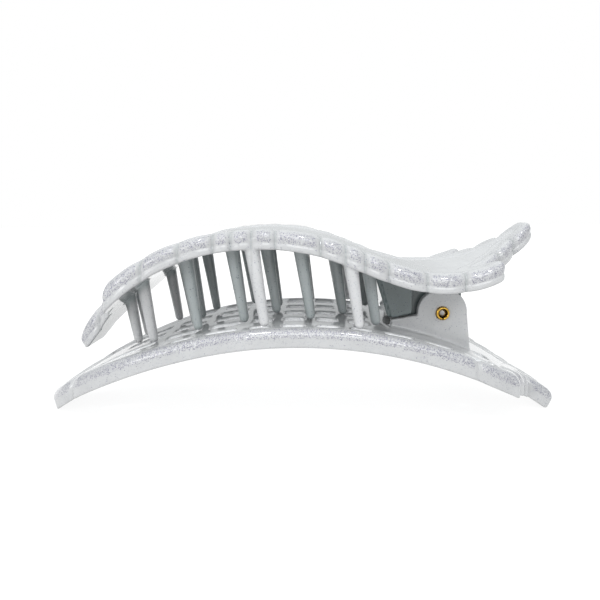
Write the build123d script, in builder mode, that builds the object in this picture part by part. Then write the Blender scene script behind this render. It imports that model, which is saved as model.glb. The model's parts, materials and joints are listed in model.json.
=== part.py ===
from build123d import *
from math import asin, cos, radians, sin, sqrt
import os

# Sprung alligator hair clip, in millimetres.
# X runs along the clip: the biting front is at -X, the hinge and thumb end at +X.
# Y is across the clip, which is the same on both sides of Y = 0. Z is up, with the
# clip standing on the two ends of its arched lower jaw at Z = 0.

# ---- driving dimensions ----
half_width = 19.0  # both jaws, at their widest
thickness = 3.6  # both plates
lip_thickness = 3.4  # the upper plate thins to this at its two ends
end_round = 1.2  # rounding of the plates' ends, seen from the side
bead_bulge = 0.45  # how far each bead of a rim swells past its two ends
tall = 60.0  # taller than the whole clip, for cuts right through
band_half_width = half_width + 2.0  # the plates' width before their outline is cut
edge_gap = 0.3  # room between the two jaws where they meet

# lower jaw: an arch, with slots along it and bars across them
arch_radius = 90.0
arch_top = 20.05
arch_half_span = 53.5
slot_width = 3.7
slot_pitch = 7.5
slot_corner = 0.7
bar_width = 2.4
bar_places = [-27.6, -18.8, -10.4, -4.2, 2.2, 8.6, 14.9, 22.6, 30.0]
# each slot's row, counted from the middle, and its two ends
slot_rows = [(0, -36.0, 13.7), (1, -43.0, 13.7), (1, 34.8, 37.2), (2, -24.0, 37.0)]

# hinge
hinge_x, hinge_z = 28.4, 20.53
ear_radius = 4.9
ear_outer, ear_inner = 6.5, 4.3
knuckle_radius = 4.4
knuckle_inner = 3.05
sleeve_radius = 1.3
sleeve_wall = 0.42
sleeve_end = 7.15
sleeve_seam = 0.25
sleeve_lip_round = 0.17
running_gap = 0.05
pin_radius = 0.82
pin_end = 6.45
pin_dome = 0.5

# side views round the hinge, as points from its axis; the tall ones reach into the plate
ear_side = [(-10.1, -1.3), (-4.9, -0.4), (4.8, 0.8), (5.8, -8.2), (-2.4, -6.8), (-10.1, -4.4)]
cheek_side = [(-15.4, 16.6), (-10.1, -1.0), (-6.0, -0.1), (-6.0, 16.6)]
knuckle_side = [(-9.4, 16.6), (-7.8, 0.2), (-3.4, -2.8), (4.2, 1.5), (4.6, 16.6)]
web_side = [(-16.2, 16.6), (-10.8, -0.8), (-7.8, -0.5), (-7.8, 16.6)]
web_half_width = 6.3

# spring
wire_radius = 0.5
coil_radius = 2.15
coil_pitch = 1.06
full_turns = 3
upper_leg_angle, lower_leg_angle = 35.0, 38.0  # degrees above and below the X direction
upper_leg, lower_leg = 7.0, 7.2

# teeth: round and tapered, all leaning the same way, tips just clear of the lower jaw
tooth_lean = 8.5
tooth_tip_radius = 0.9
tooth_taper = 2.0  # degrees, from the tooth's axis to its side
tooth_reach = 26.0  # longer than any tooth, before the plate trims it
# the distance of each row of pairs from the middle, and where its teeth stand along it
tooth_rows = [
    (3.75, [-33.1, -21.2, -4.5, 8.9]),
    (11.3, [-27.9, -19.2, -10.3, 2.4, 14.8]),
    (17.2, [-6.0, 11.2]),
]

arch_centre_z = arch_top - arch_radius


def arch_height(x):
    """Height of the arch's top surface at x."""
    return arch_centre_z + sqrt(arch_radius**2 - x**2)


# ---- outlines seen from above, one side of each, from front to back ----
# The front lip, the long rim with its beads of unequal length, the side lobe's end and
# the thumb tongue.
upper_outline = [
    (-46.2, 0.0),
    (-45.2, 3.7),
    (-40.8, 5.2),
    (-37.4, 8.6),
    (-35.6, 13.0),
    (-35.5, 16.9),
    (-33.9, 18.4),
    (-28.1, 18.5),
    (-21.3, 18.6),
    (-15.0, 18.6),
    (-11.8, 18.6),
    (-8.1, 18.6),
    (-3.9, 18.6),
    (4.1, 18.6),
    (8.5, 18.6),
    (12.0, 18.6),
    (16.2, 18.6),
    (23.0, 18.6),
    (29.8, 18.6),
    (35.5, 18.5),
    (36.9, 16.6),
    (34.7, 12.7),
    (38.7, 8.7),
    (42.5, 4.9),
    (46.2, 2.9),
    (46.6, 0.0),
]
# The lower jaw has beads only at its ends. Its long side is one smooth curve.
lower_front_beads = [(-53.1, 0.0), (-51.5, 4.2), (-46.0, 8.6)]
lower_side = [(-46.0, 8.6), (-38.0, 14.6), (-26.0, 18.2), (-12.0, 19.0), (26.0, 18.8), (32.6, 18.5)]
lower_back_beads = [
    (32.6, 18.5),
    (39.5, 17.5),
    (41.1, 15.9),
    (41.3, 12.8),
    (44.9, 8.4),
    (46.6, 4.8),
    (52.4, 3.6),
    (53.1, 0.0),
]

# side view of the upper jaw's top surface, from the front lip to the thumb end
upper_profile = [
    (-46.9, 14.6),
    (-34.9, 27.8),
    (-22.5, 35.1),
    (-8.5, 37.7),
    (6.0, 35.9),
    (16.5, 31.8),
    (25.5, 29.7),
    (34.0, 31.1),
    (46.2, 38.8),
]
profile_steps = 16  # places along it that set the depth of the plate's underside


def bead_arcs(points, side):
    """A chain of outward arcs through the points, on the side +1 or -1 of the middle."""
    for (x1, y1), (x2, y2) in zip(points, points[1:]):
        SagittaArc((x1, side * y1), (x2, side * y2), side * bead_bulge)


def from_hinge(points):
    """The points of a side view, moved from the hinge axis to where the hinge is."""
    return [(hinge_x + x, hinge_z + z) for x, z in points]


def bore(radius):
    """Cut a round hole along the hinge axis through everything there."""
    with Locations(Location((hinge_x, 0, hinge_z), (90, 0, 0))):
        Cylinder(radius, tall, mode=Mode.SUBTRACT)


# ---- upper jaw ----
def upper_surface(share):
    """The upper jaw's side view curve, moved into the plate by a share of its thickness."""
    with BuildLine(mode=Mode.PRIVATE) as surface:
        Spline(*upper_profile)
    curve = surface.line
    if share == 0:
        return curve
    deeper = []
    for i in range(profile_steps + 1):
        place = i / profile_steps
        along = curve % place
        toward_end = abs(2 * place - 1)
        depth = share * (thickness - (thickness - lip_thickness) * toward_end**4)
        deeper.append((curve @ place) + Vector(along.Y, -along.X) * depth)
    with BuildLine(mode=Mode.PRIVATE) as surface:
        Spline(*deeper)
    return surface.line


def make_upper_plate():
    top = upper_surface(0)
    under = upper_surface(1)
    with BuildPart() as plate:
        # the S-shaped band, wider than the jaw
        with BuildSketch(Plane.XZ):
            with BuildLine():
                add(top)
                add(under)
                Line(top @ 0, under @ 0)
                Line(top @ 1, under @ 1)
            make_face()
        extrude(amount=band_half_width, both=True)
        fillet(plate.edges().filter_by(Axis.Y), end_round)
        # its beaded outline
        with BuildSketch():
            with BuildLine():
                bead_arcs(upper_outline, -1)
                bead_arcs(upper_outline, 1)
            make_face()
        extrude(amount=tall, mode=Mode.INTERSECT)
    return plate.part


def make_teeth():
    """Every tooth, from its round tip to above the plate."""
    lean = radians(tooth_lean)
    up = Vector(-sin(lean), 0, cos(lean))
    across = (cos(lean), 0, sin(lean))
    with BuildPart() as teeth:
        for row, places in tooth_rows:
            for x in places:
                for side in (-1, 1):
                    tip = Vector(x, side * row, arch_height(x) + edge_gap)
                    start = tip + up * tooth_tip_radius
                    with BuildSketch(Plane(origin=start, x_dir=across, z_dir=up)):
                        Circle(tooth_tip_radius)
                    extrude(amount=tooth_reach, taper=-tooth_taper)
                    with Locations(start):
                        Sphere(tooth_tip_radius)
    return teeth.part


def make_hinge_block():
    """The upper jaw's cheeks, web and knuckles, from the hinge to above the plate."""
    with BuildPart() as block:
        for side in (-1, 1):
            # a cheek in front of the hinge, in line with the ear
            with BuildSketch(Plane.XZ.offset(side * (ear_outer + ear_inner) / 2)):
                Polygon(*from_hinge(cheek_side), align=None)
            extrude(amount=(ear_outer - ear_inner) / 2, both=True)
            # a knuckle between the ear and the spring
            knuckle_outer = ear_inner - edge_gap
            with BuildSketch(Plane.XZ.offset(side * (knuckle_outer + knuckle_inner) / 2)):
                with Locations((hinge_x, hinge_z)):
                    Circle(knuckle_radius)
                Polygon(*from_hinge(knuckle_side), align=None)
            extrude(amount=(knuckle_outer - knuckle_inner) / 2, both=True)
        # the web that joins cheeks and knuckles
        with BuildSketch(Plane.XZ):
            Polygon(*from_hinge(web_side), align=None)
        extrude(amount=web_half_width, both=True)
    return block.part


def make_upper_jaw():
    middle = upper_surface(0.5)
    with BuildPart() as under_parts:
        add(make_teeth())
        add(make_hinge_block())
        # nothing stands above the middle of the plate
        with BuildSketch(Plane.XZ):
            with BuildLine():
                add(middle)
                Polyline(middle @ 0, (-tall, -tall), (tall, -tall), middle @ 1)
            make_face()
        extrude(amount=band_half_width, both=True, mode=Mode.INTERSECT)
    with BuildPart() as jaw:
        add(make_upper_plate())
        add(under_parts.part)
        bore(sleeve_radius + running_gap)
    return jaw.part


# ---- lower jaw ----
def windows(start, end):
    """The stretches of a slot between its cross bars, as pairs of ends."""
    ends = [start]
    for x in bar_places:
        if start < x < end:
            ends += [x - bar_width / 2, x + bar_width / 2]
    ends.append(end)
    return list(zip(ends[0::2], ends[1::2]))


def make_lower_plate():
    inner_radius = arch_radius - thickness
    end_angle = asin(arch_half_span / arch_radius)
    end_x = inner_radius * sin(end_angle)
    end_z = arch_centre_z + inner_radius * cos(end_angle)
    outer_end_z = arch_height(arch_half_span)
    with BuildPart() as plate:
        # an arched band whose ends are square to the arch and rounded
        with BuildSketch(Plane.XZ):
            with BuildLine():
                outer = ThreePointArc(
                    (-arch_half_span, outer_end_z), (0, arch_top), (arch_half_span, outer_end_z)
                )
                inner = ThreePointArc((-end_x, end_z), (0, arch_top - thickness), (end_x, end_z))
                Line(outer @ 0, inner @ 0)
                Line(outer @ 1, inner @ 1)
            make_face()
        extrude(amount=band_half_width, both=True)
        fillet(plate.edges().filter_by(Axis.Y), end_round)
        # its outline: beads at the ends, one smooth curve between them
        with BuildSketch():
            with BuildLine():
                for side in (-1, 1):
                    bead_arcs(lower_front_beads, side)
                    Spline(*[(x, side * y) for x, y in lower_side])
                    bead_arcs(lower_back_beads, side)
            make_face()
        extrude(amount=tall, both=True, mode=Mode.INTERSECT)
        # lengthwise slots, crossed by bars
        with BuildSketch():
            for row, start, end in slot_rows:
                for left, right in windows(start, end):
                    for side in (-1, 1):
                        with Locations(((left + right) / 2, side * row * slot_pitch)):
                            RectangleRounded(right - left, slot_width, slot_corner)
        extrude(amount=tall, both=True, mode=Mode.SUBTRACT)
    return plate.part


def make_lower_jaw():
    with BuildPart() as jaw:
        add(make_lower_plate())
        # two ears, each with a low wall in front of it under the upper jaw's cheek
        for side in (-1, 1):
            with BuildSketch(Plane.XZ.offset(side * (ear_outer + ear_inner) / 2)):
                with Locations((hinge_x, hinge_z)):
                    Circle(ear_radius)
                Polygon(*from_hinge(ear_side), align=None)
            extrude(amount=(ear_outer - ear_inner) / 2, both=True)
        # the bore's walls in both ears grip the sleeve
        bore(sleeve_radius)
    return jaw.part


# ---- hinge ----
def make_sleeve():
    """A strip rolled into a tube, its seam at the bottom and its lips rounded."""
    with BuildPart() as sleeve:
        with BuildSketch(Plane.XZ):
            with Locations((hinge_x, hinge_z)):
                Circle(sleeve_radius)
                Circle(sleeve_radius - sleeve_wall, mode=Mode.SUBTRACT)
                with Locations((0, -sleeve_radius)):
                    Rectangle(sleeve_seam, sleeve_radius, mode=Mode.SUBTRACT)
        extrude(amount=sleeve_end, both=True)
        fillet(sleeve.edges().filter_by(GeomType.CIRCLE), sleeve_lip_round)
    return sleeve.part


def make_pin():
    """A plain round pin with domed ends, inside the sleeve."""
    with BuildPart() as pin:
        with BuildSketch(Plane.XZ):
            with Locations((hinge_x, hinge_z)):
                Circle(pin_radius)
        extrude(amount=pin_end, both=True)
        fillet(pin.edges().filter_by(GeomType.CIRCLE), pin_dome)
    return pin.part


# ---- spring ----
def make_spring():
    """A close coil round the sleeve, with a leg against each jaw's thumb end."""
    turns = full_turns + (180 - upper_leg_angle - lower_leg_angle) / 360
    coil_length = coil_pitch * turns
    start_angle = radians(90 + upper_leg_angle)
    first = Plane(
        origin=(hinge_x, coil_length / 2, hinge_z),
        x_dir=(cos(start_angle), 0, sin(start_angle)),
        z_dir=(0, -1, 0),
    )
    with BuildPart() as spring:
        with BuildLine() as path:
            add(first.location * Helix(coil_pitch, coil_length, coil_radius, mode=Mode.PRIVATE))
        coil = path.line
        with BuildSketch(Plane(origin=coil @ 0, z_dir=coil % 0)):
            Circle(wire_radius)
        sweep(path=coil, is_frenet=True)
        # each leg runs straight on from its end of the coil
        for root, toward, length in [
            (coil @ 0, -(coil % 0), upper_leg),
            (coil @ 1, coil % 1, lower_leg),
        ]:
            with BuildSketch(Plane(origin=root, z_dir=toward)):
                Circle(wire_radius)
            extrude(amount=length)
    return spring.part


pieces = {
    "upper_jaw": make_upper_jaw(),
    "lower_jaw": make_lower_jaw(),
    "hinge_sleeve": make_sleeve(),
    "hinge_pin": make_pin(),
    "torsion_spring": make_spring(),
}

os.makedirs("parts", exist_ok=True)
for name, piece in pieces.items():
    piece.label = name
    export_step(piece, f"parts/{name}.step")
    box = piece.bounding_box()
    print(name, round(piece.volume, 1), box.min, box.max)
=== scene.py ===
import json
import math

import bpy
import numpy as np
from mathutils import Euler, Matrix, Vector


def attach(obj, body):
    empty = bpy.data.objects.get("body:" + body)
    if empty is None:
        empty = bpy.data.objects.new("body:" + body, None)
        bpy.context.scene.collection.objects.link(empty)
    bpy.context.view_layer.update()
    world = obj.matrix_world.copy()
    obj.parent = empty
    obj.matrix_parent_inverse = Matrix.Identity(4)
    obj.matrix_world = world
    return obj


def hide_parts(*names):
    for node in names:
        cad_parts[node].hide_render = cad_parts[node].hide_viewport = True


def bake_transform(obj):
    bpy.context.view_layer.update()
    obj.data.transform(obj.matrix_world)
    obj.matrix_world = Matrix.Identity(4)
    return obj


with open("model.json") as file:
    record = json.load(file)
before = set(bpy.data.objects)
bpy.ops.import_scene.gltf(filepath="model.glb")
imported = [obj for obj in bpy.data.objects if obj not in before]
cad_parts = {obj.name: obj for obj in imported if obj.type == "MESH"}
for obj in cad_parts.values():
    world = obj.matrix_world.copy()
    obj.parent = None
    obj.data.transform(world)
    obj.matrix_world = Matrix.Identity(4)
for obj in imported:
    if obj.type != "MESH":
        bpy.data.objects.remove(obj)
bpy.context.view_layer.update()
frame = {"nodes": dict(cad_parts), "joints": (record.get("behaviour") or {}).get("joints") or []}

# Sprung hair clip. Shapes are worked out in millimetres in the CAD frame and stored in metres.
MM = 0.001
hinge_x, _, hinge_z = [c / MM for c in frame["joints"][0]["pos_m"]]
thickness = 3.6
lip_thickness = 3.4  # the upper jaw's, at its two ends
bead_bulge = 0.45  # how far the edge of a bead bows out
arch_radius = 90.0
arch_top = 20.05
arch_half_span = 53.5
arch_centre_z = arch_top - arch_radius
edge_gap = 0.3  # from the tip of a tooth down to the lower jaw
off_axis = 1e-4  # keeps every place just off the middle, where a half outline ends
far_off = 50.0  # farther than any part of a jaw

# The upper jaw seen from above, one side of it, from the front lip to the thumb tongue.
upper_outline = [
    (-46.2, 0.0), (-45.2, 3.7), (-40.8, 5.2), (-37.4, 8.6), (-35.6, 13.0), (-35.5, 16.9),
    (-33.9, 18.4), (-28.1, 18.5), (-21.3, 18.6), (-15.0, 18.6), (-11.8, 18.6), (-8.1, 18.6),
    (-3.9, 18.6), (4.1, 18.6), (8.5, 18.6), (12.0, 18.6), (16.2, 18.6), (23.0, 18.6),
    (29.8, 18.6), (35.5, 18.5), (36.9, 16.6), (34.7, 12.7), (38.7, 8.7), (42.5, 4.9),
    (46.2, 2.9), (46.6, 0.0),
]
# Its top surface seen from the side.
upper_profile = [
    (-46.9, 14.6), (-34.9, 27.8), (-22.5, 35.1), (-8.5, 37.7), (6.0, 35.9), (16.5, 31.8),
    (25.5, 29.7), (34.0, 31.1), (46.2, 38.8),
]
lower_front_beads = [(-53.1, 0.0), (-51.5, 4.2), (-46.0, 8.6)]
lower_side = [(-46.0, 8.6), (-38.0, 14.6), (-26.0, 18.2), (-12.0, 19.0), (26.0, 18.8), (32.6, 18.5)]
lower_back_beads = [
    (32.6, 18.5), (39.5, 17.5), (41.1, 15.9), (41.3, 12.8), (44.9, 8.4), (46.6, 4.8),
    (52.4, 3.6), (53.1, 0.0),
]
tooth_rows = [
    (3.75, [-33.1, -21.2, -4.5, 8.9]),
    (11.3, [-27.9, -19.2, -10.3, 2.4, 14.8]),
    (17.2, [-6.0, 11.2]),
]
tooth_lean = math.radians(8.5)
tooth_tip_radius = 0.9
tooth_taper = math.tan(math.radians(2.0))
slot_rows = [(0, -36.0, 13.7), (1, -43.0, 13.7), (1, 34.8, 37.2), (2, -24.0, 37.0)]
bar_places = [-27.6, -18.8, -10.4, -4.2, 2.2, 8.6, 14.9, 22.6, 30.0]
bar_width, slot_width, slot_pitch, slot_corner = 2.4, 3.7, 7.5, 0.7
end_round = 1.5
tooth_reach = 26.0
ear_radius, ear_middle, ear_half = 4.9, 5.4, 1.1
sleeve_radius, running_gap = 1.3, 0.05

# The clip seen from the side, near its hinge, as points from the hinge axis.
cheek_side = [(-15.4, 16.6), (-10.1, -1.0), (-6.0, -0.1), (-6.0, 16.6)]
web_side = [(-16.2, 16.6), (-10.8, -0.8), (-7.8, -0.5), (-7.8, 16.6)]
knuckle_side = [(-9.4, 16.6), (-7.8, 0.2), (-3.4, -2.8), (4.2, 1.5), (4.6, 16.6)]
ear_side = [(-10.1, -1.3), (-4.9, -0.4), (4.8, 0.8), (5.8, -8.2), (-2.4, -6.8), (-10.1, -4.4)]
knuckle_radius, knuckle_middle, knuckle_half = 4.4, 3.525, 0.475
web_half = 6.3
cheek_edge, web_edge, knuckle_edge = 0.25, 0.2, 0.15
ear_edge, window_edge = 0.3, 0.3
upper_fillet, lower_fillet = 0.5, 0.6

# The torsion spring.
wire_radius, coil_radius, coil_pitch, full_turns = 0.5, 2.15, 1.06, 3
upper_leg_angle, lower_leg_angle = 35.0, 38.0
upper_leg, lower_leg = 7.0, 7.2


# ---- curves ----
def smooth_curve(points, count):
    """A natural cubic spline through the points, as count points evenly spaced along it."""
    p = np.array(points, float)
    t = np.r_[0, np.cumsum(np.hypot(*np.diff(p, axis=0).T))]
    h = np.diff(t)
    n = len(p)
    a = np.eye(n)
    rhs = np.zeros_like(p)
    for i in range(1, n - 1):
        a[i, i - 1 : i + 2] = h[i - 1], 2 * (h[i - 1] + h[i]), h[i]
        rhs[i] = 6 * ((p[i + 1] - p[i]) / h[i] - (p[i] - p[i - 1]) / h[i - 1])
    m = np.linalg.solve(a, rhs)
    s = np.linspace(0, t[-1], count)
    k = np.clip(np.searchsorted(t, s, side="right") - 1, 0, n - 2)
    u, v, hk = (t[k + 1] - s)[:, None], (s - t[k])[:, None], h[k][:, None]
    return (
        m[k] * u**3 / (6 * hk)
        + m[k + 1] * v**3 / (6 * hk)
        + (p[k] / hk - m[k] * hk / 6) * u
        + (p[k + 1] / hk - m[k + 1] * hk / 6) * v
    )


def arc_points(a, b, bulge, count=9):
    """Points from a to b along an arc that swells to the left of the way from a to b."""
    a, b = np.array(a, float), np.array(b, float)
    along = b - a
    side = np.array([-along[1], along[0]]) / np.hypot(*along)
    t = np.linspace(0, 1, count)[:, None]
    return a + along * t + side * bulge * 4 * t * (1 - t)


def half_outline(beads):
    """A chain of beads as one run of points."""
    runs = [arc_points(a, b, bead_bulge)[:-1] for a, b in zip(beads, beads[1:])]
    return np.vstack([*runs, [beads[-1]]])


def outline_distance(px, py, line):
    """Signed distance to a half outline, negative inside. Every py is above zero."""
    best = np.full(px.shape, 1e9)
    inside = np.zeros(px.shape, bool)
    for (ax, ay), (bx, by) in zip(line, line[1:]):
        ex, ey = bx - ax, by - ay
        t = np.clip(((px - ax) * ex + (py - ay) * ey) / (ex * ex + ey * ey), 0, 1)
        best = np.minimum(best, (px - ax - t * ex) ** 2 + (py - ay - t * ey) ** 2)
        if ay != by:
            crosses = (ay > py) != (by > py)
            inside ^= crosses & (px < ex * (py - ay) / ey + ax)
    return np.where(inside, -1, 1) * np.sqrt(best)


def polygon_distance(px, py, points):
    """Signed distance to a closed polygon, negative inside."""
    return outline_distance(px, py, np.vstack([points, points[:1]]))


def along_curve(px, pz, curve):
    """Signed height over a curve and the share of it passed, for every point of a side view."""
    best = np.full(px.shape, 1e9)
    height, place = np.zeros(px.shape), np.zeros(px.shape)
    count = len(curve) - 1
    for k, (a, b) in enumerate(zip(curve, curve[1:])):
        ex, ez = b - a
        length = math.hypot(ex, ez)
        t = ((px - a[0]) * ex + (pz - a[1]) * ez) / length**2
        t = np.clip(t, -np.inf if k == 0 else 0, np.inf if k == count - 1 else 1)
        gx, gz = px - a[0] - t * ex, pz - a[1] - t * ez
        gap = np.hypot(gx, gz)
        near = gap < best
        best = np.where(near, gap, best)
        height = np.where(near, np.where(gz * ex < gx * ez, -gap, gap), height)
        place = np.where(near, (k + t) / count, place)
    return height, place


# ---- tables, so that a field can be asked for at any point quickly ----
table_step = 0.125


def make_table(lo, hi, work):
    """The values of work at every place of a fine flat grid."""
    u, v = (np.arange(a, b + table_step, table_step) for a, b in zip(lo, hi))
    return lo, np.stack(work(*np.meshgrid(u, v, indexing="ij")))


def look(table, u, v):
    """A table's values at any places, in between its own."""
    lo, values = table
    a = np.clip((u - lo[0]) / table_step, 0, values.shape[1] - 1.001)
    b = np.clip((v - lo[1]) / table_step, 0, values.shape[2] - 1.001)
    i, j = a.astype(int), b.astype(int)
    s, t = a - i, b - j
    first = values[:, i, j] * (1 - t) + values[:, i, j + 1] * t
    second = values[:, i + 1, j] * (1 - t) + values[:, i + 1, j + 1] * t
    return first * (1 - s) + second * s


# ---- joining distances ----
def round_max(a, b, r):
    """Where both shapes are, with an edge rounded by r."""
    return np.minimum(-r, np.maximum(a, b)) + np.hypot(np.maximum(a + r, 0), np.maximum(b + r, 0))


def smooth_min(a, b, k):
    """Either shape, with a fillet of about k between them."""
    h = np.maximum(k - np.abs(a - b), 0) / k
    return np.minimum(a, b) - h * h * k / 4


def ramp(x, lo, hi):
    t = np.clip((x - lo) / (hi - lo), 0, 1)
    return t * t * (3 - 2 * t)


# ---- a closed mesh from a field of distances ----
slope_reach = 0.06
quick_step, full_step = 0.6, 0.46
fine_width = 1.7
settle_rounds, least_slope = 3, 0.05


def surface_of(field, origin, step):
    """Vertices and quads where the field is zero, one vertex for each cell that it crosses."""
    inside = field < 0
    cells = tuple(n - 1 for n in field.shape)
    total = np.zeros((*cells, 3))
    hits = np.zeros(cells)
    for axis in range(3):
        o1, o2 = [k for k in range(3) if k != axis]
        for i in (0, 1):
            for j in (0, 1):
                lo = [None] * 3
                lo[axis] = slice(0, cells[axis])
                lo[o1] = slice(i, cells[o1] + i)
                lo[o2] = slice(j, cells[o2] + j)
                hi = list(lo)
                hi[axis] = slice(1, cells[axis] + 1)
                a, b = field[tuple(lo)], field[tuple(hi)]
                cut = inside[tuple(lo)] != inside[tuple(hi)]
                at = a[cut] / (a[cut] - b[cut])
                spot = np.zeros((len(at), 3))
                spot[:, axis], spot[:, o1], spot[:, o2] = at, i, j
                total[cut] += spot
                hits[cut] += 1
    used = hits > 0
    index = np.full(cells, -1)
    index[used] = np.arange(used.sum())
    where = np.argwhere(used)
    verts = where + total[used] / hits[used][:, None]
    quads = []
    for axis in range(3):
        o1, o2 = (axis + 1) % 3, (axis + 2) % 3
        lo = [slice(None)] * 3
        lo[axis] = slice(0, -1)
        hi = [slice(None)] * 3
        hi[axis] = slice(1, None)
        leaving = inside[tuple(lo)] & ~inside[tuple(hi)]
        entering = ~inside[tuple(lo)] & inside[tuple(hi)]
        for mask, flip in ((leaving, False), (entering, True)):
            e = np.argwhere(mask)
            e = e[(e[:, o1] > 0) & (e[:, o2] > 0)]
            ring = []
            for i, j in ((1, 1), (0, 1), (0, 0), (1, 0)):
                c = e.copy()
                c[:, o1] -= i
                c[:, o2] -= j
                ring.append(index[tuple(c.T)])
            ring = np.array(ring).T
            quads.append(ring[:, ::-1] if flip else ring)
    quads = np.vstack(quads)
    return origin + verts * step, quads


def slope_of(field, verts):
    """How fast the field grows along X, Y and Z at each vertex."""
    out = np.zeros(verts.shape)
    for axis in range(3):
        near = np.zeros(3)
        near[axis] = slope_reach
        out[:, axis] = (field(*(verts + near).T) - field(*(verts - near).T)) / (2 * slope_reach)
    return out


def settle(field, verts, furthest):
    """The vertices, moved onto the surface."""
    for _ in range(settle_rounds):
        slope = slope_of(field, verts)
        steep = np.maximum((slope**2).sum(1), least_slope)
        move = -(field(*verts.T) / steep)[:, None] * slope
        verts = verts + np.clip(move, -furthest, furthest)
    return verts


def refine(verts, quads, chosen):
    """Cuts each chosen quad in four. Its neighbours take the new points into their edges."""
    sides = np.stack([quads, np.roll(quads, -1, axis=1)], axis=2)
    keys = sides.min(axis=2) * len(verts) + sides.max(axis=2)
    cut_keys = np.unique(keys[chosen])
    middles = len(verts) + np.searchsorted(cut_keys, keys)
    is_cut = np.isin(keys, cut_keys)
    halfway = (verts[cut_keys // len(verts)] + verts[cut_keys % len(verts)]) / 2
    centre = len(verts) + len(cut_keys) + np.arange(chosen.sum())
    corner, middle = quads[chosen], middles[chosen]
    parts = [
        np.stack([corner[:, k], middle[:, k], centre, middle[:, k - 1]], axis=1) for k in range(4)
    ]
    faces = np.vstack(parts).tolist()
    whole = ~chosen & ~is_cut.any(axis=1)
    faces += quads[whole].tolist()
    for k in np.flatnonzero(~chosen & is_cut.any(axis=1)):
        face = []
        for i in range(4):
            face.append(int(quads[k, i]))
            if is_cut[k, i]:
                face.append(int(middles[k, i]))
        faces.append(face)
    verts = np.vstack([verts, halfway, verts[corner].mean(axis=1)])
    return verts, faces


def moulding(name, field, lo, hi, fine, glitter_and_shade_paint):
    """A piece whose surface is where its field is zero, with smaller faces where fine says so."""
    step = full_step
    half = np.arange(0, hi[1] + step, step)
    ax, az = np.arange(lo[0], hi[0] + step, step), np.arange(lo[2], hi[2] + step, step)
    values = field(ax[:, None, None], half[None, :, None], az[None, None, :])
    values = np.concatenate([values[:, :0:-1], values], axis=1)
    verts, quads = surface_of(values, np.array([lo[0], -half[-1], lo[2]]), step)
    verts = settle(field, verts, step / 2)
    chosen = fine(*verts.T)[quads].any(axis=1)
    verts, faces = refine(verts, quads, chosen)
    verts = settle(field, verts, step / 4)
    normal = slope_of(field, verts)
    normal /= np.maximum(np.linalg.norm(normal, axis=1), 1e-6)[:, None]
    return make_piece(name, verts, faces, normal, glitter_and_shade_paint(*verts.T))


def make_piece(name, verts, faces, normal, glitter_and_shade_paint):
    """A mesh object, with its glitter and painted shading on every vertex."""
    mesh = bpy.data.meshes.new(name)
    mesh.from_pydata((verts * MM).tolist(), [], faces)
    mesh.shade_smooth()
    mesh.normals_split_custom_set_from_vertices(normal.tolist())
    for layer_name, values in glitter_and_shade_paint.items():
        layer = mesh.attributes.new(layer_name, "FLOAT", "POINT")
        layer.data.foreach_set("value", values.astype(np.float32))
    obj = bpy.data.objects.new(name, mesh)
    bpy.context.scene.collection.objects.link(obj)
    return obj


# ---- rims ----
# The upper rim is a chain of beads, and so are the two ends of the lower one. The side of an
# upper bead swells in its upper part, where the glitter shows, over a plain band that stands
# as proud as the swelling. The lower rim is a plain bevel with glitter along it.
rim_width, rim_rise, rim_blend = 2.7, 0.2, 0.5
step_width, step_rise, step_blend = 5.0, 0.14, 0.4
edge_round, under_round = 1.5, 0.4
corner_turn = 0.3  # sine of the least turn that counts as a corner
groove_depth, groove_reach, groove_power = 0.6, 0.75, 1.4
crown_depth, crown_reach = 0.4, 3.0
crease_fade = 0.7  # the share of the rim's width where a crease begins to fade
crease_outside = 2.0  # how far outside the outline a crease still counts
no_crease = 9.0  # the distance given where no crease is near
side_inset, side_swell, band_inset = 0.03, 0.13, 0.13
swell_middle, swell_half, band_top, band_end = 0.34, 0.3, 0.64, 0.78
upper_crease_top, upper_crease_side = 0.5, 0.34
lower_crease_top, lower_crease_side, lower_inset = 0.4, 0.3, 0.06
# painted shading: the outside, painted shade between the teeth and round the hinge, painted light
# in the windows
outer_tone, inner_tone, block_tone, wall_tone = 0.58, 0.38, 0.2, 1.0
# painted shade: the rim is painted a little darker
rim_tone, rim_tone_start, rim_tone_end = 0.52, 2.5, 4.0
# the glitter on a bead: how far from the crease, and from where to where down the side
patch_inset, patch_round, patch_soft = 0.75, 0.5, 0.15
upper_patch, lower_patch = (0.3, 2.2), (-0.1, 1.7)
patch_depth = (-1.3, -0.7)
# painted shade along the creases between beads
crease_shade, crease_line = 0.16, (0.05, 0.4)
# painted light: the upper jaw's inside is painted lighter near its edges, and on the teeth at the
# front
open_side, open_front, open_below = (13.5, 15.5), (24, 30), (0.5, 2.0)
# painted shade under the plate and round the hinge
underside, block_margin = (-0.12, 0.05), 0.4
# painted light on the walls of the windows
wall_near, wall_below = (0.15, 0.4), (0.4, 0.7)


def creases(beads):
    """Where neighbouring beads meet, with the way along the rim there and the way into the plate.

    A rim has no crease where it turns an outward corner, since one bead goes round it.
    """
    out = []
    for a, b, c in zip(beads, beads[1:], beads[2:]):
        u = np.subtract(b, a) / math.dist(a, b)
        v = np.subtract(c, b) / math.dist(b, c)
        if v[0] * u[1] - v[1] * u[0] > corner_turn:
            continue
        along = (u + v) / np.hypot(*(u + v))
        out.append((b, along, (along[1], -along[0])))
    return out


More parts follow.
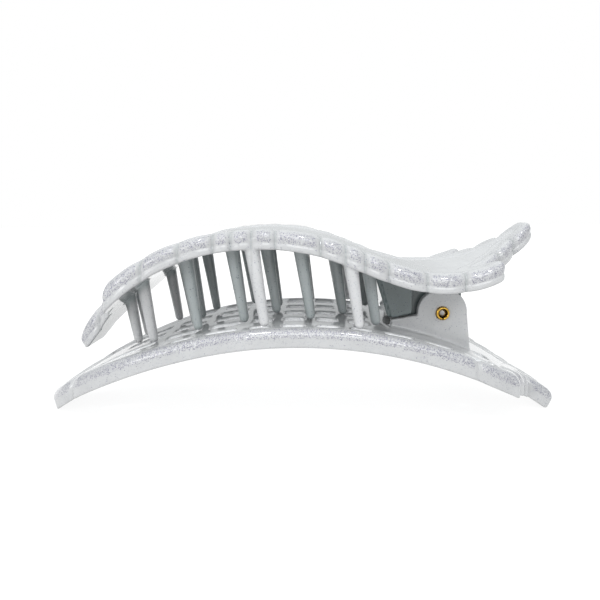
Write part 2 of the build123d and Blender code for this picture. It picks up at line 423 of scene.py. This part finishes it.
def crease_cut(x, y, places):
    """How deep the creases cut at each place seen from above, from 0 to 1, and how near one is."""
    deep, near = 0.0, no_crease
    for spot, along, inward in places:
        dx, dy = x - spot[0], y - spot[1]
        sideways = np.abs(dx * along[0] + dy * along[1])
        into = dx * inward[0] + dy * inward[1]
        held = (1 - ramp(into, rim_width * crease_fade, rim_width)) * (into > -crease_outside)
        groove = groove_depth * np.maximum(1 - sideways / groove_reach, 0) ** groove_power
        crown = crown_depth * np.maximum(1 - sideways / crown_reach, 0) ** 2
        deep = np.maximum(deep, (groove + crown) * held)
        near = np.minimum(near, np.where(held > 0.5, sideways, no_crease))
    return deep, near


def side_shape(share):
    """How far the upper jaw's side is set in, at a share of the way down the plate."""
    swollen = side_inset + side_swell * ((share - swell_middle) / swell_half) ** 2
    band = band_inset * (1 - ramp(share, band_top, band_end)) + side_inset
    return np.where(share < band_top, np.minimum(swollen, side_inset + band_inset), band)


def raised_rim(outline):
    """How far the plate is sunk inside its rim, in two steps."""
    first = rim_rise * ramp(-outline, rim_width - rim_blend, rim_width + rim_blend)
    return first + step_rise * ramp(-outline, step_width - step_blend, step_width + step_blend)


def glitter_patch(outline, down, near, patch):
    """1 on each bead's patch of glitter, a rounded rectangle on its side, and 0 elsewhere."""
    half = (patch[1] - patch[0]) / 2
    across = np.abs(down - patch[0] - half) - half + patch_round
    along = patch_inset - near + patch_round
    patch = np.hypot(np.maximum(across, 0), np.maximum(along, 0)) - patch_round
    return (1 - ramp(patch, -patch_soft, patch_soft)) * ramp(outline, *patch_depth)


def side_view(px, pz, points):
    """Signed distance to a shape seen from the side, given as points from the hinge axis."""
    return polygon_distance(px, pz, np.array([(hinge_x + x, hinge_z + z) for x, z in points]))


def hinge_distance(px, pz):
    """How far a place seen from the side is from the hinge axis."""
    return np.hypot(px - hinge_x, pz - hinge_z)


def face_tone(outline):
    """How light the plastic is painted outside, with painted shade a little darker on the rim."""
    return rim_tone + (outer_tone - rim_tone) * ramp(-outline, rim_tone_start, rim_tone_end)


# ---- upper jaw ----
upper_curve = smooth_curve(upper_profile, 120)
upper_length = np.hypot(*np.diff(upper_curve, axis=0).T).sum()
upper_creases = creases(upper_outline)
upper_plan = make_table(
    (-49.0, 0.0),
    (49.0, 21.0),
    lambda x, y: [outline_distance(x, y + off_axis, half_outline(upper_outline))],
)
upper_side = make_table(
    (-49.0, 11.0),
    (50.0, 41.0),
    lambda x, z: [
        *along_curve(x, z, upper_curve),
        side_view(x, z, cheek_side),
        side_view(x, z, web_side),
        np.minimum(side_view(x, z, knuckle_side), hinge_distance(x, z) - knuckle_radius),
    ],
)


def upper_depth(place):
    """The plate's thickness at a share of the way along it, less towards its two ends."""
    return thickness - (thickness - lip_thickness) * np.minimum(np.abs(2 * place - 1), 1.1) ** 4


def tooth(x, y, z, tip):
    """A leaning tapered tooth with a round tip."""
    lean = (-math.sin(tooth_lean), math.cos(tooth_lean))
    x, y, z = x - tip[0], y - tip[1], z - tip[2]
    along = x * lean[0] + z * lean[1]
    away = np.sqrt(np.maximum(x * x + y * y + z * z - along**2, 0))
    side = away - tooth_tip_radius - tooth_taper * (along - tooth_tip_radius)
    ball = np.hypot(away, along - tooth_tip_radius) - tooth_tip_radius
    return np.where(along < tooth_tip_radius, ball, np.maximum(side, along - tooth_reach))


def upper_field(x, y, z):
    """Distance to the upper jaw, negative inside."""
    y = np.abs(y)
    height, place, cheek, web, knuckle = look(upper_side, x, z)
    outline = look(upper_plan, x, y)[0]
    depth = upper_depth(place)
    cut = crease_cut(x, y, upper_creases)[0]
    top = height + raised_rim(outline) + upper_crease_top * cut
    side = outline + side_shape(-height / depth) + upper_crease_side * cut
    plate = round_max(round_max(top, side, edge_round), -height - depth, under_round)
    end = np.maximum(-place, place - 1) * upper_length
    plate = round_max(plate, end, end_round)
    block = round_max(cheek, np.abs(y - ear_middle) - ear_half, cheek_edge)
    block = np.minimum(block, round_max(web, y - web_half, web_edge))
    knuckle_side_gap = np.abs(y - knuckle_middle) - knuckle_half
    block = np.minimum(block, round_max(knuckle, knuckle_side_gap, knuckle_edge))
    teeth = far_off
    for row, spots in tooth_rows:
        for spot in spots:
            tip = (spot, row, arch_centre_z + math.sqrt(arch_radius**2 - spot**2) + edge_gap)
            teeth = np.minimum(teeth, tooth(x, y, z, tip))
    # what hangs below ends inside the plate and runs into its underside with a fillet
    middle = height + depth * 0.5
    jaw = smooth_min(plate, np.maximum(np.minimum(teeth, block), middle), upper_fillet)
    bore = hinge_distance(x, z) - sleeve_radius - running_gap
    return np.maximum(jaw, -bore)


def upper_fine(x, y, z):
    """True near the rim, where the faces are smaller."""
    return look(upper_plan, x, np.abs(y))[0] > -fine_width


def upper_glitter_and_shading(x, y, z):
    """Glitter on the beads. Painted shade deep inside and round the hinge, painted light near the
    edges.
    """
    y = np.abs(y)
    height, place, cheek, web, knuckle = look(upper_side, x, z)
    under = -height - upper_depth(place)
    # painted shade round the hinge; painted light near the open edges and on the teeth at the front
    block = np.minimum(np.minimum(cheek, web), knuckle) < block_margin
    block = block & (y < ear_middle + ear_half + block_margin)
    front_teeth = ramp(-x, *open_front) * ramp(under, *open_below)
    open_air = np.maximum(ramp(y, *open_side), front_teeth)
    deep = np.where(block, block_tone, inner_tone + (outer_tone - inner_tone) * open_air)
    outline = look(upper_plan, x, y)[0]
    face = face_tone(outline)
    # painted shade under the plate
    painted_shading = face + (deep - face) * ramp(under, *underside)
    near = crease_cut(x, y, upper_creases)[1]
    return {
        "sparkle": glitter_patch(outline, -height, near, upper_patch),
        # painted shade in the creases between beads
        "painted_shading": painted_shading * (1 - crease_shade * (1 - ramp(near, *crease_line))),
    }


# ---- lower jaw ----
def rounded_rect(px, py, x0, x1, y, half, corner):
    """Signed distance to a rectangle from x0 to x1 about y, with rounded corners."""
    qx = np.abs(px - (x0 + x1) / 2) - (x1 - x0) / 2 + corner
    qy = np.abs(py - y) - half + corner
    outside = np.hypot(np.maximum(qx, 0), np.maximum(qy, 0))
    return outside + np.minimum(np.maximum(qx, qy), 0) - corner


def windows(start, end):
    """The stretches of a slot between its cross bars."""
    ends = [start]
    for x in bar_places:
        if start < x < end:
            ends += [x - bar_width / 2, x + bar_width / 2]
    ends.append(end)
    return list(zip(ends[0::2], ends[1::2]))


def window_distance(x, y):
    """Signed distance to the nearest window seen from above."""
    best = far_off
    for row, start, stop in slot_rows:
        for left, right in windows(start, stop):
            spot = rounded_rect(x, y, left, right, row * slot_pitch, slot_width / 2, slot_corner)
            best = np.minimum(best, spot)
    return best


lower_line = np.vstack([
    half_outline(lower_front_beads)[:-1],
    smooth_curve(lower_side, 40)[:-1],
    half_outline(lower_back_beads),
])
lower_creases = creases(lower_front_beads) + creases(lower_back_beads)
# a crease also parts the beads at each end from the smooth rim between them
lower_creases += [
    (lower_front_beads[-1], (0.77, 0.64), (0.64, -0.77)),
    (lower_back_beads[0], (1.0, 0.0), (0.0, -1.0)),
]
lower_plan = make_table(
    (-55.0, 0.0),
    (55.0, 21.0),
    lambda x, y: [outline_distance(x, y + off_axis, lower_line), window_distance(x, y)],
)
lower_side_view = make_table(
    (17.0, 10.0),
    (36.0, 27.0),
    lambda x, z: [np.minimum(side_view(x, z, ear_side), hinge_distance(x, z) - ear_radius)],
)


def lower_field(x, y, z):
    """Distance to the lower jaw, negative inside."""
    y = np.abs(y)
    height = np.hypot(x, z - arch_centre_z) - arch_radius
    outline, holes = look(lower_plan, x, y)
    cut = crease_cut(x, y, lower_creases)[0]
    top = height + raised_rim(outline) + lower_crease_top * cut
    side = outline + lower_inset + lower_crease_side * cut
    plate = round_max(top, side, edge_round)
    plate = round_max(plate, -height - thickness, under_round)
    end_angle = math.asin(arch_half_span / arch_radius)
    end = (np.arctan2(np.abs(x), z - arch_centre_z) - end_angle) * arch_radius
    plate = round_max(plate, end, end_round)
    plate = round_max(plate, -holes, window_edge)
    ear = look(lower_side_view, x, z)[0]
    ear = round_max(ear, np.abs(y - ear_middle) - ear_half, ear_edge)
    jaw = smooth_min(plate, ear, lower_fillet)
    bore = hinge_distance(x, z) - sleeve_radius
    return np.maximum(jaw, np.where(np.abs(z - hinge_z) < 4, -bore, -far_off))


def lower_fine(x, y, z):
    """True near the rim, where the faces are smaller."""
    return look(lower_plan, x, np.abs(y))[0] > -fine_width


def lower_glitter_and_shading(x, y, z):
    """Glitter on the rim, painted shade on the rim, and painted light on the walls of the windows.
    """
    y = np.abs(y)
    height = np.hypot(x, z - arch_centre_z) - arch_radius
    outline, holes = look(lower_plan, x, y)
    # painted light: the walls of the windows are painted lighter than the bars' faces
    wall = (1 - ramp(holes, *wall_near)) * ramp(-height, *wall_below)
    face = face_tone(outline)
    near = crease_cut(x, y, lower_creases)[1]
    return {
        "sparkle": glitter_patch(outline, -height, near, lower_patch),
        "painted_shading": face + (wall_tone - face) * wall,
    }


# ---- spring ----
def tube(name, path, radius, sides=14):
    """A round wire along the path."""
    path = np.array(path)
    along = np.gradient(path, axis=0)
    along /= np.linalg.norm(along, axis=1)[:, None]
    across = np.cross(along[0], (0, 1, 0))
    verts = []
    for spot, way in zip(path, along):
        across = across - way * (across @ way)
        across /= np.linalg.norm(across)
        other = np.cross(way, across)
        for k in range(sides):
            turn = 2 * math.pi * k / sides
            verts.append(spot + radius * (across * math.cos(turn) + other * math.sin(turn)))
    faces = []
    for ring in range(len(path) - 1):
        for k in range(sides):
            a, b = ring * sides + k, ring * sides + (k + 1) % sides
            faces.append((a, b, b + sides, a + sides))
    faces += [tuple(range(sides))[::-1], tuple(len(verts) - sides + k for k in range(sides))]
    mesh = bpy.data.meshes.new(name)
    mesh.from_pydata((np.array(verts) * MM).tolist(), [], faces)
    mesh.shade_smooth()
    obj = bpy.data.objects.new(name, mesh)
    bpy.context.scene.collection.objects.link(obj)
    return obj


def spring_path():
    """Up one leg, round the coil and down the other leg."""
    turns = full_turns + (180 - upper_leg_angle - lower_leg_angle) / 360
    first = math.radians(90 + upper_leg_angle)
    coil = []
    for share in np.linspace(0, 1, 110):
        turned = first + 2 * math.pi * turns * share
        coil.append((
            hinge_x + coil_radius * math.cos(turned),
            coil_pitch * turns * (0.5 - share),
            hinge_z + coil_radius * math.sin(turned),
        ))
    coil = np.array(coil)
    start, stop = coil[0] - coil[1], coil[-1] - coil[-2]
    start, stop = start / np.linalg.norm(start), stop / np.linalg.norm(stop)
    ahead = np.array([1, 0.97, 0.5, 0.1])[:, None]
    first_leg = coil[0] + start * ahead * upper_leg
    last_leg = coil[-1] + stop * ahead[::-1] * lower_leg
    return np.vstack([first_leg, coil, last_leg])


# ---- materials ----
# tones turns the painted shading on a jaw, from 0 to 1, into the colour that its plastic is
# multiplied by; deep painted shade is a greener grey
body_dark, body_light = (0.75, 0.758, 0.767), (0.83, 0.84, 0.85)
tones = [(0.0, (0, 0, 0)), (0.3, (0.25, 0.3, 0.297)), (0.5, (0.5, 0.5, 0.5)), (1.0, (1, 1, 1))]
flake_colours = [(0.0, (0.34, 0.34, 0.43)), (0.45, (0.6, 0.6, 0.65)), (1.0, (0.95, 0.95, 0.97))]
flake_tilt = 0.7
flake_limit_plain, flake_limit_patch = 1.02, 0.42
speck_colour = (0.16, 0.18, 0.26, 1)
speck_rarity, speck_size, speck_strength = 0.8, 0.36, 0.3


def new_material(name):
    mat = bpy.data.materials.new(name)
    mat.use_nodes = True
    return mat, mat.node_tree.nodes, mat.node_tree.links


def add_node(nodes, kind, settings=(), **values):
    """A node with its attributes set by name and its sockets by settings."""
    node = nodes.new("ShaderNode" + kind)
    for name, value in values.items():
        setattr(node, name, value)
    for socket, value in settings:
        node.inputs[socket].default_value = value
    return node


def colour_ramp(nodes, stops):
    """A colour ramp with those places and colours."""
    node = nodes.new("ShaderNodeValToRGB")
    elements = node.color_ramp.elements
    while len(elements) < len(stops):
        elements.new(0.5)
    for element, (place, colour) in zip(elements, stops):
        element.position = place
        element.color = (*colour, 1)
    return node


def glitter_plastic(name):
    """Cloudy silver plastic: fine flakes crowd the glitter patches and are sparse elsewhere."""
    mat, nodes, links = new_material(name)
    shader = nodes["Principled BSDF"]
    coords = nodes.new("ShaderNodeTexCoord").outputs["Object"]

    # flakes: fine cells, each with its own tilt, and a coarser clumping of them
    flakes = add_node(nodes, "TexVoronoi", [("Scale", 6400.0)])
    links.new(coords, flakes.inputs["Vector"])
    split = add_node(nodes, "SeparateColor")
    links.new(flakes.outputs["Color"], split.inputs[0])
    clumps = add_node(nodes, "TexNoise", [("Scale", 1500.0), ("Detail", 2.0)])
    links.new(coords, clumps.inputs["Vector"])
    band = add_node(nodes, "Attribute", attribute_name="sparkle")
    limits = [("To Min", flake_limit_plain), ("To Max", flake_limit_patch)]
    share = add_node(nodes, "MapRange", limits)
    links.new(band.outputs["Fac"], share.inputs["Value"])
    lowered = add_node(nodes, "Math", [(1, -0.3), (2, 0.1)], operation="MULTIPLY_ADD")
    links.new(clumps.outputs["Fac"], lowered.inputs[0])
    limit = add_node(nodes, "Math", operation="ADD")
    links.new(share.outputs["Result"], limit.inputs[0])
    links.new(lowered.outputs["Value"], limit.inputs[1])
    shown = add_node(nodes, "Math", operation="GREATER_THAN")
    links.new(split.outputs["Red"], shown.inputs[0])
    links.new(limit.outputs["Value"], shown.inputs[1])
    shown = shown.outputs["Value"]

    # a flake's own tilt turns the surface a little
    tilt = add_node(nodes, "VectorMath", [(1, (0.5, 0.5, 0.5))], operation="SUBTRACT")
    links.new(flakes.outputs["Color"], tilt.inputs[0])
    strength = add_node(nodes, "Math", [(1, flake_tilt)], operation="MULTIPLY")
    links.new(shown, strength.inputs[0])
    scaled = add_node(nodes, "VectorMath", operation="SCALE")
    links.new(tilt.outputs["Vector"], scaled.inputs[0])
    links.new(strength.outputs["Value"], scaled.inputs["Scale"])
    tilted = add_node(nodes, "VectorMath")
    links.new(nodes.new("ShaderNodeNewGeometry").outputs["Normal"], tilted.inputs[0])
    links.new(scaled.outputs["Vector"], tilted.inputs[1])
    unit = add_node(nodes, "VectorMath", operation="NORMALIZE")
    links.new(tilted.outputs["Vector"], unit.inputs[0])
    links.new(unit.outputs["Vector"], shader.inputs["Normal"])

    # body and flake colours, multiplied by the painted shading on the jaw
    cloud = add_node(nodes, "TexNoise", [("Scale", 240.0), ("Detail", 3.0)])
    links.new(coords, cloud.inputs["Vector"])
    body = colour_ramp(nodes, [(0.3, body_dark), (0.7, body_light)])
    links.new(cloud.outputs["Fac"], body.inputs["Fac"])
    painted_shading = add_node(nodes, "Attribute", attribute_name="painted_shading")
    shade = colour_ramp(nodes, tones)
    links.new(painted_shading.outputs["Fac"], shade.inputs["Fac"])
    flake_colour = colour_ramp(nodes, flake_colours)
    links.new(split.outputs["Green"], flake_colour.inputs["Fac"])
    glitter = add_node(nodes, "Mix", data_type="RGBA")
    links.new(shown, glitter.inputs["Factor"])
    links.new(body.outputs["Color"], glitter.inputs[6])
    links.new(flake_colour.outputs["Color"], glitter.inputs[7])
    toned = add_node(nodes, "Mix", [("Factor", 1.0)], data_type="RGBA", blend_type="MULTIPLY")
    links.new(glitter.outputs[2], toned.inputs[6])
    links.new(shade.outputs["Color"], toned.inputs[7])

    # small dark specks deeper in the plastic
    specks = add_node(nodes, "TexVoronoi", [("Scale", 4200.0)])
    links.new(coords, specks.inputs["Vector"])
    rare = add_node(nodes, "SeparateColor")
    links.new(specks.outputs["Color"], rare.inputs[0])
    few = add_node(nodes, "Math", [(1, speck_rarity)], operation="GREATER_THAN")
    links.new(rare.outputs["Blue"], few.inputs[0])
    small = add_node(nodes, "Math", [(1, speck_size)], operation="LESS_THAN")
    links.new(specks.outputs["Distance"], small.inputs[0])
    speck = add_node(nodes, "Math", operation="MULTIPLY")
    links.new(few.outputs["Value"], speck.inputs[0])
    links.new(small.outputs["Value"], speck.inputs[1])
    faint = add_node(nodes, "Math", [(1, speck_strength)], operation="MULTIPLY")
    links.new(speck.outputs["Value"], faint.inputs[0])
    speckled = add_node(nodes, "Mix", [(7, speck_colour)], data_type="RGBA")
    links.new(faint.outputs["Value"], speckled.inputs["Factor"])
    links.new(toned.outputs[2], speckled.inputs[6])
    links.new(speckled.outputs[2], shader.inputs["Base Color"])

    metal = add_node(nodes, "Math", [(1, 0.25)], operation="MULTIPLY")
    links.new(shown, metal.inputs[0])
    links.new(metal.outputs["Value"], shader.inputs["Metallic"])
    rough = add_node(nodes, "MapRange", [("To Min", 0.5), ("To Max", 0.34)])
    links.new(shown, rough.inputs["Value"])
    links.new(rough.outputs["Result"], shader.inputs["Roughness"])

    # the clear skin is smooth, with the faint waves of moulding
    waves = add_node(nodes, "TexNoise", [("Scale", 420.0)])
    links.new(coords, waves.inputs["Vector"])
    skin = add_node(nodes, "Bump", [("Strength", 0.15), ("Distance", 0.0001)])
    links.new(waves.outputs["Fac"], skin.inputs["Height"])
    links.new(skin.outputs["Normal"], shader.inputs["Coat Normal"])
    shader.inputs["Specular IOR Level"].default_value = 0.1
    shader.inputs["Coat Weight"].default_value = 1.0
    shader.inputs["Coat Roughness"].default_value = 0.07
    return mat


def metal_material(name, dark, light, roughness, stretch):
    """A metal with fine marks, drawn out along the axis that stretch is least on."""
    mat, nodes, links = new_material(name)
    shader = nodes["Principled BSDF"]
    coords = nodes.new("ShaderNodeTexCoord")
    scale = add_node(nodes, "Mapping", [("Scale", stretch)])
    links.new(coords.outputs["Object"], scale.inputs["Vector"])
    lines = add_node(nodes, "TexNoise", [("Scale", 1.0), ("Detail", 4.0)])
    links.new(scale.outputs["Vector"], lines.inputs["Vector"])
    colour = colour_ramp(nodes, [(0.35, dark), (0.65, light)])
    links.new(lines.outputs["Fac"], colour.inputs["Fac"])
    links.new(colour.outputs["Color"], shader.inputs["Base Color"])
    limits = [("To Min", roughness * 0.75), ("To Max", roughness * 1.3)]
    rough = add_node(nodes, "MapRange", limits)
    links.new(lines.outputs["Fac"], rough.inputs["Value"])
    links.new(rough.outputs["Result"], shader.inputs["Roughness"])
    bump = add_node(nodes, "Bump", [("Strength", 0.2), ("Distance", 0.00003)])
    links.new(lines.outputs["Fac"], bump.inputs["Height"])
    links.new(bump.outputs["Normal"], shader.inputs["Normal"])
    shader.inputs["Metallic"].default_value = 1.0
    return mat


def wear(obj, mat):
    """Gives the object this one material."""
    obj.data.materials.clear()
    obj.data.materials.append(mat)


# ---- pieces ----
upper_low, upper_high = (-48.2, 0, 11.6), (48.6, 20.4, 40.2)
upper = moulding(
    "upper_jaw_moulding", upper_field, upper_low, upper_high, upper_fine, upper_glitter_and_shading
)
wear(upper, glitter_plastic("upper glitter plastic"))
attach(upper, "upper")
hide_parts("upper_jaw")

lower_low, lower_high = (-54.4, 0, -1.0), (54.4, 20.4, 26.4)
lower = moulding(
    "lower_jaw_moulding", lower_field, lower_low, lower_high, lower_fine, lower_glitter_and_shading
)
wear(lower, glitter_plastic("lower glitter plastic"))
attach(lower, "lower")
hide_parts("lower_jaw")

# the spring: the real coil winds up between its two legs as the jaws open, but here it is one fixed
# wire
spring = tube("spring_wire", spring_path(), wire_radius)
spring_steel = metal_material(
    "spring steel", (0.42, 0.42, 0.43), (0.6, 0.6, 0.61), 0.28, (500, 500, 500)
)
wear(spring, spring_steel)
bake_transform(spring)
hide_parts("torsion_spring")

brass = metal_material("brass", (0.42, 0.24, 0.03), (0.74, 0.46, 0.09), 0.2, (900, 160, 900))
wear(frame["nodes"]["hinge_sleeve"], brass)
pin_steel = metal_material(
    "pin steel", (0.26, 0.25, 0.25), (0.48, 0.47, 0.46), 0.38, (900, 160, 900)
)
wear(frame["nodes"]["hinge_pin"], pin_steel)

# ---- floor, light and camera ----
floor_size = 1.2
floor_mesh = bpy.data.meshes.new("floor")
floor_mesh.from_pydata(
    [(x * floor_size, y * floor_size, 0) for x, y in ((-1, -1), (1, -1), (1, 1), (-1, 1))],
    [], [(0, 1, 2, 3)],
)
floor = bpy.data.objects.new("floor", floor_mesh)
bpy.context.scene.collection.objects.link(floor)
floor_mat, floor_nodes, floor_links = new_material("floor")
paper = floor_nodes["Principled BSDF"]
paper.inputs["Base Color"].default_value = (0.15, 0.15, 0.15, 1)
paper.inputs["Roughness"].default_value = 0.9
paper.inputs["Specular IOR Level"].default_value = 0.1
paper.inputs["Emission Color"].default_value = (1, 1, 1, 1)
# the paper glows less near the clip, so that its shadows show
floor_place = floor_nodes.new("ShaderNodeTexCoord")
reach = add_node(floor_nodes, "VectorMath", operation="LENGTH")
floor_links.new(floor_place.outputs["Object"], reach.inputs[0])
glow = add_node(
    floor_nodes,
    "MapRange",
    [("From Min", 0.08), ("From Max", 0.4), ("To Min", 0.88), ("To Max", 1.0)],
)
floor_links.new(reach.outputs["Value"], glow.inputs["Value"])
floor_links.new(glow.outputs["Result"], paper.inputs["Emission Strength"])
floor_mesh.materials.append(floor_mat)

world = bpy.data.worlds.new("studio")
bpy.context.scene.world = world
world.use_nodes = True
world_nodes, world_links = world.node_tree.nodes, world.node_tree.links
sky = world_nodes["Background"]
sky.inputs["Color"].default_value = (0.965, 0.99, 1.0, 1)
# the room is lighter in front, behind and overhead
way = add_node(world_nodes, "SeparateXYZ")
world_links.new(world_nodes.new("ShaderNodeTexCoord").outputs["Generated"], way.inputs[0])
front_or_back = add_node(world_nodes, "Math", operation="ABSOLUTE")
world_links.new(way.outputs["Y"], front_or_back.inputs[0])
front = add_node(world_nodes, "MapRange", [("To Min", 0), ("To Max", 0.2)])
world_links.new(front_or_back.outputs["Value"], front.inputs["Value"])
above = add_node(
    world_nodes, "MapRange", [("From Min", 0), ("From Max", 1), ("To Min", 0.45), ("To Max", 1.4)]
)
world_links.new(way.outputs["Z"], above.inputs["Value"])
room = add_node(world_nodes, "Math", operation="ADD")
world_links.new(front.outputs["Result"], room.inputs[0])
world_links.new(above.outputs["Result"], room.inputs[1])
world_links.new(room.outputs["Value"], sky.inputs["Strength"])
# the camera sees white paper behind the clip, which doesn't light it
paper_white = world_nodes.new("ShaderNodeBackground")
paper_white.inputs["Color"].default_value = (1, 1, 1, 1)
both = world_nodes.new("ShaderNodeMixShader")
world_links.new(world_nodes.new("ShaderNodeLightPath").outputs["Is Camera Ray"], both.inputs["Fac"])
world_links.new(sky.outputs[0], both.inputs[1])
world_links.new(paper_white.outputs[0], both.inputs[2])
world_links.new(both.outputs[0], world_nodes["World Output"].inputs["Surface"])


def softbox(name, azimuth, elevation, size, radiance):
    """A soft light half a metre from the clip, as bright as radiance times white paper."""
    a, e = math.radians(azimuth), math.radians(elevation)
    way = Vector((math.sin(a) * math.cos(e), -math.cos(a) * math.cos(e), math.sin(e)))
    light = bpy.data.lights.new(name, "AREA")
    light.shape = "RECTANGLE"
    light.size, light.size_y = size
    light.energy = radiance * math.pi * size[0] * size[1]
    obj = bpy.data.objects.new(name, light)
    obj.location = way * 0.5 + Vector((0, 0, 0.02))
    obj.rotation_euler = way.to_track_quat("Z", "Y").to_euler()
    bpy.context.scene.collection.objects.link(obj)


softbox("left light", -22, 58, (0.05, 0.04), 60.0)
softbox("right light", 22, 58, (0.05, 0.04), 60.0)
softbox("front light", 8, 27, (0.36, 0.2), 3.3)
softbox("side light", -45, 11, (0.2, 0.12), 6.0)

camera_data = bpy.data.cameras.new("camera")
camera_data.lens = 35.28
camera_data.sensor_width = 36
camera_data.clip_start, camera_data.clip_end = 0.005, 10
camera = bpy.data.objects.new("camera", camera_data)
camera.rotation_mode = "XYZ"
camera.location = (0.0025, -0.12174, 0.04132)
pitch, yaw, roll = math.radians(8.892), math.radians(1.155), math.radians(-0.4)
aim = Euler((math.pi / 2 - pitch, 0, yaw)).to_matrix() @ Matrix.Rotation(roll, 3, "Z")
camera.rotation_euler = aim.to_euler()
bpy.context.scene.collection.objects.link(camera)
bpy.context.scene.camera = camera
bpy.context.scene.view_settings.view_transform = "Standard"
